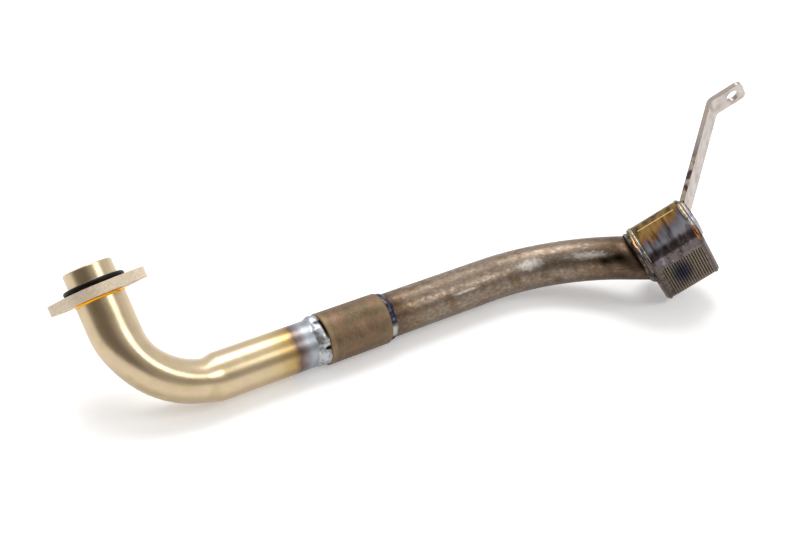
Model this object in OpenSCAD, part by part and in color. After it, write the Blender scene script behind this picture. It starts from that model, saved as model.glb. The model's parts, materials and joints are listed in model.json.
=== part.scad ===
// Oil pickup tube: a flanged elbow, a coupling sleeve, a bent extension and a screened box with a bracket.
// It lies as it rests on a bench: straight run along +X, +Z up, origin on the spigot axis at the flange face.

/* [Elbow tube] */
// Outer diameter of the elbow tube
elbow_od = 22.6; // [20:0.1:26]
// Wall of the elbow tube and of the extension tube
tube_wall = 1.65; // [1.2:0.05:2.2]
// Angle that the elbow turns through
elbow_angle = 85; // [70:1:95]
// Lean of the elbow's plane from the vertical
elbow_roll = 37.6; // [20:0.1:55]
// Radius of the elbow at the middle of the tube
elbow_clr = 38; // [32:0.5:48]
// Share of its width that the tube loses inside the bend
elbow_flattening = 0.09; // [0:0.01:0.14]
// Straight tube between the bend and the flange
neck_len = 15.4; // [10:0.1:30]
// Straight tube between the bend and the mouth of the sleeve
leg_len = 51.7; // [40:0.1:90]
// Height of the spigot above the flange face
spigot_len = 9.5; // [7:0.1:16]
// Amount that the nose of the spigot is turned down, on the diameter
nose_relief = 0.3; // [0.1:0.05:0.6]

/* [Flange] */
// Thickness of the flange
flange_t = 4.76; // [3:0.01:8]
// Distance between the two bolt holes
bolt_span = 33; // [32:0.5:44]
// Diameter of the bolt holes
bolt_hole_d = 6.6; // [5:0.1:8.4]
// Radius of the ears round the bolt holes
ear_r = 7; // [6:0.1:9]
// Radius of the flange round the tube
hub_r = 16.5; // [15:0.1:20]
// Turn of the flange about the spigot axis
flange_turn = 145; // [0:1:180]
// Leg of the braze fillet under the flange
braze_leg = 1.2; // [1:0.1:4]

/* [Seal] */
// Section diameter of the sealing ring
ring_section = 2.62; // [1.8:0.01:3.5]

/* [Sleeve] */
// Outer diameter of the sleeve
sleeve_od = 25.4; // [24.8:0.1:30]
// Length of the sleeve
sleeve_len = 33; // [24:0.5:50]
// Radial gap between the sleeve and the elbow tube
sleeve_gap = 0.15; // [0.05:0.01:0.3]
// Gap between the two tube ends inside the sleeve
butt_gap = 1; // [0.5:0.1:4]
// Bevel at both ends of the sleeve
sleeve_bevel = 0.4; // [0.1:0.05:0.6]

/* [Extension tube] */
// Outer diameter of the extension tube
ext_od = 22.2; // [20:0.1:22.4]
// Straight tube between the sleeve and the bend
ext_run = 63.5; // [30:0.1:120]
// Radius of the extension bend at the middle of the tube
ext_clr = 70; // [50:0.5:110]
// Angle that the extension turns through
ext_angle = 58.6; // [30:0.1:70]
// Rise of the extension's bend plane from the horizontal
ext_roll = 18.8; // [0:0.1:40]
// Straight tube between the bend and the box, along its middle
ext_tail = 11.6; // [9:0.1:30]

/* [Inlet box] */
// Length of the box over its two end plates
box_len = 30.4; // [26:0.1:45]
// Depth of the box from its back to the screen side
box_depth = 28; // [27.6:0.1:36]
// Width of the box
box_width = 43; // [38:0.5:60]
// Wall of the box
box_wall = 1.6; // [1:0.05:2.5]
// Outer radius of the box's folded edges
box_edge_r = 7.6; // [5:0.1:9]
// Thickness of the end plates
plate_t = 2; // [1.5:0.1:3]
// Turn of the box about Z
box_yaw = -22.5; // [-40:0.5:0]
// Tilt of the box's length from the floor
box_tilt = 32.6; // [15:0.1:45]
// Roll of the box about its length
box_roll = -162.2; // [-180:0.1:-140]
// Distance of the tube's middle from the middle of the end plate, across the depth
entry_shift = 0; // [-0.2:0.05:1]
// Place of the tube's middle on the end plate, across the width
entry_width = 12.6; // [12.5:0.05:24]

/* [Screen] */
// Lip of the screen window at the tube end
window_lip_tube = 5; // [3:0.1:8]
// Lip of the screen window at the bracket end
window_lip_bracket = 3.6; // [3:0.1:8]
// Lip of the screen window beside the upper folded edge
window_lip_edge = 2.6; // [0.5:0.1:4]
// Pitch of the screen's wires
wire_pitch = 2.9; // [2.9:0.1:6]
// Thickness of the screen's wires
wire_t = 0.8; // [0.5:0.05:1.2]
// Gap round the screen in its window
screen_gap = 0.2; // [0.1:0.05:0.5]

/* [Bracket] */
// Width of the strap
strap_w = 12.2; // [9:0.1:16]
// Thickness of the strap
strap_t = 2.5; // [1.5:0.1:4]
// Length of the strap's foot on the end plate
foot_len = 13; // [8:0.5:20]
// Distance of the strap's first bend from the back of the box
foot_back = -2.4; // [-6:0.1:6]
// Angle between the end plate and the strap's long leg
leg_angle = 42; // [20:1:70]
// Length of the strap's long leg between its bends
strap_leg = 59.5; // [40:0.5:90]
// Length of the strap's tab past its bend
tab_len = 16.5; // [15:0.5:30]
// Inner radius of the strap's bends
strap_bend_r = 3; // [2:0.1:6]
// Diameter of the strap's hole
strap_hole_d = 7; // [5:0.1:8]
// Distance of the strap's hole from the end of the tab
strap_hole_edge = 6.6; // [6:0.1:8]
// Radius of the tab's corners
tab_corner_r = 3.2; // [1:0.1:5]

/* [Welds] */
// Width of the weld bead on the elbow tube
elbow_bead_w = 6; // [3:0.1:9]
// Width of the weld bead on the extension tube
ext_bead_w = 4.2; // [2:0.1:8]
// Height of the sleeve's weld beads above the tube
bead_h = 1.15; // [0.8:0.05:1.6]
// Width of the weld bead between the tube and the box
box_bead_w = 3.2; // [1.5:0.1:5]
// Width of the seam weld round each end plate
seam_w = 1.6; // [1.2:0.1:4]
// Height of the seam weld above the box wall
seam_h = 0.35; // [0.2:0.05:1]
// Leg of the strap's fillet welds
strap_bead = 2; // [1:0.1:3]

/* [Hidden] */
$fn = 64;

// Clearance that keeps welded and seated pieces from sharing metal
seat = 0.04;
eps = 0.01;
bend_step = 0.12;
// Facets round a bent tube, along each bend, round and across a weld bead, and along a bend of the strap
bend_sides = 36;
elbow_steps = 20;
ext_steps = 16;
bead_steps = 56;
strap_steps = 10;
crown_steps = 4;

elbow_r = elbow_od / 2;
ext_r = ext_od / 2;
sleeve_r = sleeve_od / 2;
sleeve_bore_r = elbow_r + sleeve_gap;
// Distance from the crossing of the elbow's two axes to the ends of its bend
elbow_tangent = elbow_clr * tan(elbow_angle / 2);
flange_face = elbow_tangent + neck_len + flange_t;
// Radii of the bend's facet rings, whose flats and corners lie inside the metal of the round pipes they meet
bend_out_r = elbow_r - bend_step;
bend_bore_r = (elbow_r - tube_wall) / cos(180 / bend_sides) + bend_step;
// Direction in which a flank leaves the flange's long axis
flank_lean = acos((hub_r - ear_r) / (bolt_span / 2));
sleeve_x = elbow_tangent + leg_len;
butt_x = sleeve_x + sleeve_len / 2;
bend_x = sleeve_x + sleeve_len + ext_run;

// Direction of the spigot, from the crossing of the elbow's axes
function turned_x(v, a) = [v[0], v[1] * cos(a) - v[2] * sin(a), v[1] * sin(a) + v[2] * cos(a)];
spigot_dir = turned_x([-cos(elbow_angle), 0, sin(elbow_angle)], -elbow_roll);
flange_pos = spigot_dir * flange_face;

// Middle of the tube where it meets the box, seen from the crossing of the elbow's axes
ext_turn = turned_x([0, -1, 0], -ext_roll);
ext_dir = [cos(ext_angle), 0, 0] + ext_turn * sin(ext_angle);
ext_end = [bend_x + ext_clr * sin(ext_angle), 0, 0] + ext_turn * ext_clr * (1 - cos(ext_angle))
        + ext_dir * ext_tail;
// Direction of the box's length
box_dir = [cos(box_yaw) * cos(box_tilt), sin(box_yaw) * cos(box_tilt), sin(box_tilt)];
// The tail's direction seen from the box, and the two directions square to it
function turned_y(v, a) = [v[0] * cos(a) + v[2] * sin(a), v[1], v[2] * cos(a) - v[0] * sin(a)];
function turned_z(v, a) = [v[0] * cos(a) - v[1] * sin(a), v[0] * sin(a) + v[1] * cos(a), v[2]];
tail_in_box = turned_x(turned_y(turned_z(ext_dir, -box_yaw), box_tilt), -box_roll);
tail_across = cross(tail_in_box, [0, 1, 0]) / norm(cross(tail_in_box, [0, 1, 0]));
tail_side = cross(tail_across, tail_in_box);
// How far the tail runs on past the plate before the slanted cut
tail_extra = ext_od;

window_len = box_len - window_lip_tube - window_lip_bracket;
window_start = box_edge_r + window_lip_edge;
// Place across the width where the lower folded edge drops below the window's floor
fold_end = box_width - box_edge_r + sqrt(pow(box_edge_r, 2) - pow(box_edge_r - box_wall, 2));
// The screen fills the window, and its lower edge rests on the cut fold
screen_len = window_len - 2 * screen_gap;
screen_width = fold_end - window_start - 2 * screen_gap;
entry_depth = box_depth / 2 + entry_shift;

// Everything is laid out from the crossing of the elbow's axes, then set with the flange face at the origin
module from_crossing() { translate(-flange_pos) children(); }
module along_run(x = 0) { from_crossing() translate([x, 0, 0]) rotate([0, 90, 0]) children(); }
module along_spigot(d = 0) {
    from_crossing() rotate([-elbow_roll, 0, 0]) rotate([0, elbow_angle - 90, 0])
        translate([0, 0, d]) children();
}
module along_tail() {
    from_crossing() translate([bend_x, 0, 0]) rotate([-ext_roll, 0, 0]) translate([0, -ext_clr, 0])
        rotate([0, 0, -ext_angle]) translate([0, ext_clr, 0]) rotate([0, 90, 0]) children();
}
// The box's own frame: X along its length, Y towards the screen and Z across its width
module in_box() {
    from_crossing() translate(ext_end) rotate([box_roll, -box_tilt, box_yaw])
        translate([0, -entry_depth, -entry_width]) children();
}

module pipe(r, wall, len) {
    difference() {
        cylinder(r = r, h = len);
        translate([0, 0, -eps]) cylinder(r = r - wall, h = len + 2 * eps);
    }
}

module rounded_rect(w, h, r) {
    translate([r, 0]) square([w - 2 * r, h]);
    translate([0, r]) square([w, h - 2 * r]);
    for (x = [r, w - r], y = [r, h - r]) translate([x, y]) circle(r);
}

// Outline of the box grown by g, extruded from x to x + len along its length
module box_prism(x, len, g) {
    translate([x, 0, 0]) rotate([90, 0, 90]) linear_extrude(len) translate([-g, -g])
        rounded_rect(box_depth + 2 * g, box_width + 2 * g, box_edge_r + g);
}

// Closed ring of sections: rows[i][j] is point j of section i, and the last section joins the first
module closed_ring(rows) {
    n = len(rows);
    m = len(rows[0]);
    polyhedron(points = [for (row = rows, p = row) p],
               faces = [for (i = [0:n - 1], j = [0:m - 1])
                        let (a = i * m, b = ((i + 1) % n) * m, k = (j + 1) % m)
                        [a + j, a + k, b + k, b + j]]);
}

// Eased step from 0 to 1
function eased(t) = let (c = min(1, max(0, t))) c * c * (3 - 2 * c);
// Pipe through a row of rings: rings[2 * i] is the outer and rings[2 * i + 1] the inner ring at station i
module swept_pipe(rings) {
    m = len(rings[0]);
    n = len(rings) / 2 - 1;
    last = 2 * n * m;
    polyhedron(
        points = [for (ring = rings, p = ring) p],
        faces = [for (j = [0:m - 1]) let (k = (j + 1) % m) each concat(
            [for (i = [0:n - 1]) let (a = 2 * i * m, b = a + 2 * m) [a + j, b + j, b + k, a + k]],
            [for (i = [0:n - 1]) let (a = (2 * i + 1) * m, b = a + 2 * m) [a + j, a + k, b + k, b + j]],
            [[j, k, m + k, m + j], [last + j, last + m + j, last + m + k, last + k]])]);
}

// Share of the elbow's flattening at angle a from the leg: none at the bend's ends, all of it in between
function flattened(a) = elbow_flattening * eased(a / 14) * eased((elbow_angle - a) / 30);
// Ring of the elbow at angle a, back from the leg at the origin and curling up towards the spigot
function elbow_ring(a, r) =
    let (k = elbow_r * flattened(a))
    [for (j = [0:bend_sides - 1])
        let (q = -360 * j / bend_sides, d = elbow_clr + (r - k) * cos(q))
        [-d * sin(a), (r + 0.8 * k) * sin(q), elbow_clr - d * cos(a)]];

// Rings of the extension: one at the butt joint, then those of the bend, then the slanted one at the plate
function ext_centre(a) = [bend_x + ext_clr * sin(a), 0, 0] + ext_turn * ext_clr * (1 - cos(a));
function ext_spoke(a, q) =
    cos(q) * (sin(a) * [1, 0, 0] - cos(a) * ext_turn) + sin(q) * cross([1, 0, 0], ext_turn);
function ext_ring(station, r) =
    let (a = ext_angle * min(ext_steps, max(0, station)) / ext_steps)
    [for (j = [0:bend_sides - 1])
        let (spoke = r * ext_spoke(a, -360 * j / bend_sides))
        station < 0 ? [butt_x + butt_gap / 2, 0, 0] + spoke :
        station <= ext_steps ? ext_centre(a) + spoke :
        ext_end + spoke - ext_dir * (spoke * box_dir + seat) / (ext_dir * box_dir)];

// Uneven weld bead on a tube of radius r against a face at the origin, on its lower side along Z.
// It has ripples as laid and one fat lump at each angle of lumps.
function bead_swell(q, ripples, lumps) =
    0.82 + 0.12 * cos(ripples * q) + 0.1 * cos(3 * q + 40)
    + 0.5 * max([for (c = lumps) exp(-pow((((q - c) % 360 + 540) % 360 - 180) / 13, 2))]);
function bead_section(q, r, w, h, ripples, lumps) =
    let (s = bead_swell(q, ripples, lumps),
         flat = [for (i = [0:crown_steps]) let (t = 90 * i / crown_steps)
                    [r + seat + h * s * sin(t), -seat - w * s * cos(t)]])
    [for (p = concat([[r + seat, -seat]], flat)) [p[0] * cos(q), p[0] * sin(q), p[1]]];
module tube_bead(r, w, h, ripples, lumps) {
    closed_ring([for (i = [0:bead_steps - 1]) bead_section(360 * i / bead_steps, r, w, h, ripples, lumps)]);
}

module mounting_flange() color("tan")
    along_spigot(flange_face - flange_t) rotate([0, 0, flange_turn]) difference() {
        linear_extrude(flange_t) {
            circle(hub_r);
            for (s = [-1, 1]) translate([s * bolt_span / 2, 0]) circle(ear_r);
            // Straight flanks, tangent to the hub and the ears
            polygon([for (f = [-1, 1], s = [f, -f], on_hub = (s == f) ? [false, true] : [true, false])
                     let (r = (on_hub ? hub_r : ear_r) - eps, x = on_hub ? 0 : bolt_span / 2)
                     [s * (x + r * cos(flank_lean)), f * r * sin(flank_lean)]]);
        }
        translate([0, 0, -eps]) cylinder(r = elbow_r + seat, h = flange_t + 2 * eps);
        for (s = [-1, 1]) translate([s * bolt_span / 2, 0, -eps])
            cylinder(d = bolt_hole_d, h = flange_t + 2 * eps);
    }

// The neck and the bend with its leg are one tube, in two solids that meet face to face
module elbow_neck() color("darkkhaki")
    along_spigot(elbow_tangent) difference() {
        union() {
            cylinder(r = elbow_r, h = neck_len + flange_t + ring_section);
            cylinder(r = elbow_r - nose_relief / 2, h = neck_len + flange_t + spigot_len);
        }
        translate([0, 0, -eps])
            cylinder(r = elbow_r - tube_wall, h = neck_len + flange_t + spigot_len + 2 * eps);
    }

module elbow_tube() color("darkkhaki") {
    from_crossing() rotate([-elbow_roll, 0, 0]) translate([elbow_tangent, 0, 0]) swept_pipe(
        [for (i = [0:elbow_steps], r = [bend_out_r, bend_bore_r])
            elbow_ring(elbow_angle * i / elbow_steps, r)]);
    along_run(elbow_tangent) pipe(elbow_r, tube_wall, butt_x - butt_gap / 2 - elbow_tangent);
}

module spigot_o_ring() color("dimgray")
    along_spigot(flange_face) rotate_extrude() intersection() {
        translate([elbow_r + ring_section / 2, ring_section / 2]) circle(d = ring_section);
        translate([elbow_r + seat, seat]) square(ring_section);
    }

module flange_braze_ring() color("goldenrod")
    along_spigot(flange_face - flange_t) rotate_extrude() translate([elbow_r + seat, -seat]) difference() {
        translate([0, -braze_leg]) square(braze_leg);
        translate([braze_leg * 1.12, -braze_leg * 1.12]) circle(braze_leg);
    }

module coupling_sleeve() color("rosybrown")
    along_run(sleeve_x) rotate_extrude()
        polygon([[sleeve_bore_r, 0], [sleeve_r - sleeve_bevel, 0], [sleeve_r, sleeve_bevel],
                 [sleeve_r, sleeve_len - sleeve_bevel], [sleeve_r - sleeve_bevel, sleeve_len],
                 [sleeve_bore_r, sleeve_len]]);

module elbow_weld_bead() color("lightsteelblue")
    along_run(sleeve_x) tube_bead(elbow_r, elbow_bead_w, bead_h, 17, [112, 186, 250, 312]);

module extension_weld_bead() color("slategray")
    along_run(sleeve_x + sleeve_len) mirror([0, 0, 1])
        tube_bead(ext_r, ext_bead_w, bead_h + sleeve_bore_r - ext_r, 21, [205]);

module tail_rod(r) { along_tail() cylinder(r = r, h = ext_tail + tail_extra); }

module extension_tube() color("gray")
    from_crossing() swept_pipe(
        [for (station = [-1:ext_steps + 1], wall = [0, tube_wall]) ext_ring(station, ext_r - wall)]);

module box_shell() color("darkslateblue")
    in_box() difference() {
        box_prism(plate_t, box_len - 2 * plate_t, 0);
        box_prism(plate_t - eps, box_len - 2 * plate_t + 2 * eps, -box_wall);
        translate([window_lip_tube, box_depth - box_wall - eps, window_start])
            cube([window_len, box_wall + 2 * eps, box_width]);
    }

module tube_end_plate() color("lightslategray")
    difference() {
        in_box() box_prism(0, plate_t - seat, 0);
        tail_rod(ext_r - tube_wall);
    }

module bracket_end_plate() color("lightslategray")
    in_box() box_prism(box_len - plate_t + seat, plate_t - seat, 0);

// Two layers of crossing wires inside a welded border, each sunk into the other where they cross
module inlet_screen() color("silver")
    in_box() translate([window_lip_tube, box_depth - box_wall + seat, window_start])
    translate([screen_gap, 0, screen_gap]) {
        layer = 0.6 * wire_t;
        cols = floor((screen_len - wire_t) / wire_pitch);
        rows = floor((screen_width - wire_t) / wire_pitch);
        first_col = (screen_len - (cols - 1) * wire_pitch - wire_t) / 2;
        first_row = (screen_width - (rows - 1) * wire_pitch - wire_t) / 2;
        for (i = [0:cols - 1]) translate([first_col + i * wire_pitch, 0, 0])
            cube([wire_t, wire_t, screen_width]);
        for (i = [0:rows - 1]) translate([0, layer, first_row + i * wire_pitch])
            cube([screen_len, wire_t, wire_t]);
        for (x = [0, screen_len - wire_t]) translate([x, 0, 0])
            cube([wire_t, wire_t + layer, screen_width]);
        for (z = [0, screen_width - wire_t]) translate([0, 0, z])
            cube([screen_len, wire_t + layer, wire_t]);
    }

// Bead round the slanted foot of the tube, narrow where the tube comes near the plate's edges.
// A point lies at radius r and angle q round the tube, and up from the plate along the tube.
function foot_point(r, q, up) =
    let (ring = r * (cos(q) * tail_side + sin(q) * tail_across))
    ring - tail_in_box * (ring[0] / tail_in_box[0] + seat / tail_in_box[0] + up);
function box_bead_section(q) =
    let (w = box_bead_w * (1 - 0.9 * pow(cos(q), 2)) * (0.9 + 0.1 * cos(19 * q)),
         h = box_bead_w * (0.8 + 0.1 * cos(17 * q)), r = ext_r + seat)
    concat([foot_point(r, q, 0)],
           [for (i = [0:crown_steps]) let (t = 90 * i / crown_steps)
               foot_point(r + w * cos(t), q, h * sin(t))]);
module tube_box_weld_bead() color("peru")
    in_box() translate([0, entry_depth, entry_width])
        closed_ring([for (i = [0:bead_steps - 1]) box_bead_section(-360 * i / bead_steps)]);

module seam(x) {
    difference() {
        box_prism(x, seam_w, seam_h);
        box_prism(x - eps, seam_w + 2 * eps, seat);
    }
}
module tube_end_seam_weld() color("burlywood") in_box() seam(plate_t - seam_w / 2);

module bracket_end_seam_weld() color("burlywood")
    in_box() seam(box_len - plate_t - seam_w / 2);

// Side view of the strap, out along one face and back on the other: foot, bend, long leg, bend and tab
strap_out_r = strap_t + strap_bend_r;
foot_bend_at = [foot_len, strap_out_r];
tab_bend_at = foot_bend_at + strap_leg * [cos(leg_angle), sin(leg_angle)];
tab_end = tab_bend_at[1] + tab_len;
function strap_arc(at, r, from, to) =
    [for (i = [0:strap_steps]) let (a = from + (to - from) * i / strap_steps) at + r * [sin(a), -cos(a)]];
strap_side = concat(
    [[0, 0]],
    strap_arc(foot_bend_at, strap_out_r, 0, leg_angle),
    strap_arc(tab_bend_at, strap_out_r, leg_angle, 90),
    [[tab_bend_at[0] + strap_out_r, tab_end], [tab_bend_at[0] + strap_bend_r, tab_end]],
    strap_arc(tab_bend_at, strap_bend_r, 90, leg_angle),
    strap_arc(foot_bend_at, strap_bend_r, leg_angle, 0),
    [[0, strap_t]]);
// The strap's own frame on the end plate: X to the back of the box, Y away from the plate, Z across the width
module on_end_plate() {
    in_box() translate([box_len + seat, foot_back + foot_len, (box_width - strap_w) / 2])
        rotate([0, 0, -90]) children();
}
module support_bracket() color("lightgray")
    on_end_plate() difference() {
        linear_extrude(strap_w) polygon(strap_side);
        translate([tab_bend_at[0] + strap_bend_r - eps, tab_end - strap_hole_edge, strap_w / 2])
            rotate([0, 90, 0]) cylinder(d = strap_hole_d, h = strap_t + 2 * eps);
        // Round corners at the end of the tab
        for (side = [0, 1]) translate([tab_bend_at[0], tab_end - tab_corner_r, side * strap_w])
            mirror([0, 0, side]) rotate([90, 0, 90]) linear_extrude(2 * strap_out_r) difference() {
                translate([0, -eps]) square([tab_corner_r + eps, tab_corner_r + eps]);
                translate([0, tab_corner_r]) circle(tab_corner_r);
            }
    }

module bracket_weld_bead() color("silver")
    on_end_plate() for (side = [0, 1]) translate([0, 0, side * strap_w]) mirror([0, 0, 1 - side])
        rotate([0, 90, 0]) mirror([1, 0, 0]) linear_extrude(foot_len) translate([seat, 0]) intersection() {
            circle(strap_bead);
            square(strap_bead);
        }

mounting_flange();
elbow_neck();
elbow_tube();
spigot_o_ring();
flange_braze_ring();
coupling_sleeve();
elbow_weld_bead();
extension_tube();
extension_weld_bead();
box_shell();
tube_end_plate();
bracket_end_plate();
inlet_screen();
tube_box_weld_bead();
tube_end_seam_weld();
bracket_end_seam_weld();
support_bracket();
bracket_weld_bead();
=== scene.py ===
import json
import math

import bmesh
import bpy
import numpy as np
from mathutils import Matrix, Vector


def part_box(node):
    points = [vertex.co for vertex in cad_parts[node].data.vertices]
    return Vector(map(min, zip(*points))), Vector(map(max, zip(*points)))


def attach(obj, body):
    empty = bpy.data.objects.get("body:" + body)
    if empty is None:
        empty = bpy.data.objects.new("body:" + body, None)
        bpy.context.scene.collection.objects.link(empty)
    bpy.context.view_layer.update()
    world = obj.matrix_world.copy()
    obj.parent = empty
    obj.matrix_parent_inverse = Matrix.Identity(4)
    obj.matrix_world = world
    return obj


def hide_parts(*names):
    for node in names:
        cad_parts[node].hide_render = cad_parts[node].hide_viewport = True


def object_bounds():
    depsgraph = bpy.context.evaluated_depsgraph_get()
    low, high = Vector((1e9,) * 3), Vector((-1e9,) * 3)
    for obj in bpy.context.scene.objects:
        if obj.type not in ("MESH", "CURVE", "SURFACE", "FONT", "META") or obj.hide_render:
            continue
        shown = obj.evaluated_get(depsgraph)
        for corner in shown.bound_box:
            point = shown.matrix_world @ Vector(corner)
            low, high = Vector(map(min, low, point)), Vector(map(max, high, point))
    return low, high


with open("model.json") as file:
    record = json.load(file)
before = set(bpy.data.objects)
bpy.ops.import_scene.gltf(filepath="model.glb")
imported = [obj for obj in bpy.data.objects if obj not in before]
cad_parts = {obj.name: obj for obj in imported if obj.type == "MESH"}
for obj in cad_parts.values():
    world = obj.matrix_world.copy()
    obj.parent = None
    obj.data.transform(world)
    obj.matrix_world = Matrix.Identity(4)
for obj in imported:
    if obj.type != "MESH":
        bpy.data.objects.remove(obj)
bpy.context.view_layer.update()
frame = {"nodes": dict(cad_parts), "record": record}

# Mounting flange
# A flat two-bolt plate of laser-cut steel, pressed over the tube and brazed to it from below.
# Its plating is the same bath as the elbow's, but it is matt on the ground faces.
MM = 0.001
# The marks of grinding are finer than this, and are drawn as coarse as they need to show
GROUND_GRIT = 0.9


def srgb(code):
    """Linear colour of an sRGB hex code."""
    parts = [int(code[i:i + 2], 16) / 255 for i in (1, 3, 5)]
    return [c / 12.92 if c <= 0.04045 else ((c + 0.055) / 1.055) ** 2.4 for c in parts] + [1.0]


def add(tree, kind, inputs=None, stops=None, **settings):
    """One node with its settings, its socket values or links, and the stops of its colour ramp."""
    node = tree.nodes.new("ShaderNode" + kind)
    for name, value in settings.items():
        setattr(node, name, value)
    for name, value in (inputs or {}).items():
        if isinstance(value, bpy.types.NodeSocket):
            tree.links.new(value, node.inputs[name])
        else:
            node.inputs[name].default_value = value
    if stops:
        ramp = node.color_ramp.elements
        while len(ramp) < len(stops):
            ramp.new(1.0)
        for element, (place, code) in zip(ramp, stops):
            element.position = place
            element.color = srgb(code)
    return node


def surface(name):
    """An empty material and its node tree."""
    made = bpy.data.materials.new(name)
    made.use_nodes = True
    made.node_tree.nodes.clear()
    return made, made.node_tree


def dress(nodes, made):
    """Gives CAD nodes a material in place of their own."""
    for name in nodes:
        frame["nodes"][name].data.materials.clear()
        frame["nodes"][name].data.materials.append(made)


# Zinc plating on ground steel: pale grainy beige, with a soft sheen and no clear reflections
flange_plating, tree = surface("zinc_plated_steel_ground")
place = add(tree, "TexCoord").outputs["Object"]
grain = add(tree, "TexNoise", {"Vector": place, "Scale": 1 / (GROUND_GRIT * MM),
                               "Detail": 3.0}).outputs["Fac"]
tone = add(tree, "ValToRGB", {"Fac": grain}, stops=[
    (0.3, "#DAC7AA"), (0.5, "#EBD9BF"), (0.7, "#F0E2CB")]).outputs["Color"]
edge = add(tree, "Bevel", {"Radius": 0.35 * MM}, samples=6).outputs["Normal"]
rough = add(tree, "Bump", {"Height": grain, "Strength": 0.12, "Distance": 0.2 * MM, "Normal": edge})
shade = add(tree, "BsdfPrincipled", {"Base Color": tone, "Metallic": 0.2, "Roughness": 0.5,
                                     "Normal": rough.outputs["Normal"]})
add(tree, "OutputMaterial", {"Surface": shade.outputs["BSDF"]})
dress(["mounting_flange"], flange_plating)

# Elbow tube
# A drawn steel tube, bent on a mandrel so that it is a little flat inside the bend, then plated yellow.
# The heat of the sleeve's weld has burned the plating off the last few millimetres.
ELBOW_R = 11.3
TUBE_WALL = 1.65
ELBOW_CLR = 38.0
NECK_TO_TIP = 29.66
NECK_TO_SEAL = 22.78
NOSE_STEP = 0.15
TIP_CHAMFER = 0.4
FLATTENING = 0.09
INNER_FLATTENING = 0.05
SIDE_SPREAD = 0.8
LEG_EASE, NECK_EASE = 13.0, 30.0
BUTT_GAP = 1.0
NECK_RINGS, BEND_RINGS, LEG_RINGS, BORE_RINGS = 20, 72, 60, 40
RING_GAP = 1.0
# The weld's heat has coloured this much of the tube, and the edges of the colours wander by this much
BURN_REACH, BURN_WANDER = 40.0, 3.5
PLATING_CLOUD = 9
# The grain of the plating is finer than this, and is drawn as coarse as it needs to show
PLATING_GRAIN = 0.9
X, Y, Z = np.eye(3)

mounts = {m["name"]: m for m in frame["record"]["mounts"]}
spigot = np.array(mounts["flange_bolts"]["axis"])
spigot = spigot / np.linalg.norm(spigot)
sleeve_low, sleeve_high = (np.array(corner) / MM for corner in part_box("coupling_sleeve"))
sleeve_mid = (sleeve_low + sleeve_high) / 2
crossing = spigot * sleeve_mid[1] / spigot[1]
elbow_angle = math.acos(-spigot[0])
elbow_tangent = ELBOW_CLR * math.tan(elbow_angle / 2)
toward = np.array([0.0, spigot[1], spigot[2]]) / math.hypot(spigot[1], spigot[2])
across = np.cross(X, toward)


def eased(t):
    t = min(1.0, max(0.0, t))
    return t * t * (3 - 2 * t)


def skin(name, rows, lay=None, closed=True):
    """A smooth mesh through rings of points in millimetres, joined end to end if closed.

    The attribute lay has one number or one place for each point.
    """
    rows = np.asarray(rows, float)
    count, sides = rows.shape[:2]
    faces = []
    for i in range(count if closed else count - 1):
        for j in range(sides):
            a, b, k = i * sides, (i + 1) % count * sides, (j + 1) % sides
            faces.append((a + j, a + k, b + k, b + j))
    mesh = bpy.data.meshes.new(name)
    mesh.from_pydata((rows.reshape(-1, 3) * MM).tolist(), [], faces)
    work = bmesh.new()
    work.from_mesh(mesh)
    bmesh.ops.recalc_face_normals(work, faces=work.faces)
    work.to_mesh(mesh)
    work.free()
    mesh.polygons.foreach_set("use_smooth", [True] * len(mesh.polygons))
    if lay is not None:
        lay = np.asarray(lay, np.float32)
        kind, field = ("FLOAT", "value") if lay.ndim == 2 else ("FLOAT_VECTOR", "vector")
        mesh.attributes.new("lay", kind, "POINT").data.foreach_set(field, lay.ravel())
    made = bpy.data.objects.new(name, mesh)
    bpy.context.scene.collection.objects.link(made)
    return made


def seat(piece, made, slot, *nodes):
    """Puts a finished piece on the part, in place of CAD nodes."""
    piece.data.materials.append(made)
    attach(piece, "root")
    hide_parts(*nodes)


TUBE_SIDES = 96
turn = np.linspace(0, 2 * math.pi, TUBE_SIDES, endpoint=False)


def unbent(along, radius):
    """Rings of a tube as it was before bending, in millimetres."""
    round_tube = np.stack([np.cos(turn) * radius, np.sin(turn) * radius], axis=1)
    return [np.column_stack([np.full(TUBE_SIDES, at), round_tube]) for at in along]


def elbow_station(kind, value, inner):
    """One ring of the elbow: up the neck, round the bend or along the leg."""
    radius = ELBOW_R - (TUBE_WALL if inner else 0)
    swing = np.cos(turn)
    if kind == "neck":
        if not inner:
            radius -= NOSE_STEP * (value > NECK_TO_SEAL) + TIP_CHAMFER * (value > NECK_TO_TIP - 0.01)
        out = -toward * math.cos(elbow_angle) - X * math.sin(elbow_angle)
        middle = crossing + spigot * (elbow_tangent + value)
        wide = tall = radius
    elif kind == "bend":
        out = -toward * math.cos(value) - X * math.sin(value)
        middle = crossing + X * elbow_tangent + toward * ELBOW_CLR + out * ELBOW_CLR
        degrees = math.degrees(value)
        share = eased(degrees / LEG_EASE) * eased((math.degrees(elbow_angle) - degrees) / NECK_EASE)
        flat = FLATTENING * share
        tall, wide = radius - ELBOW_R * flat, radius + SIDE_SPREAD * ELBOW_R * flat
        swing = np.where(swing < 0, swing * (1 - INNER_FLATTENING * share), swing)
    else:
        out = -toward
        middle = crossing + X * (elbow_tangent + value)
        wide = tall = radius
    return middle + np.outer(swing, out) * tall + np.outer(np.sin(turn), across) * wide


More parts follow.
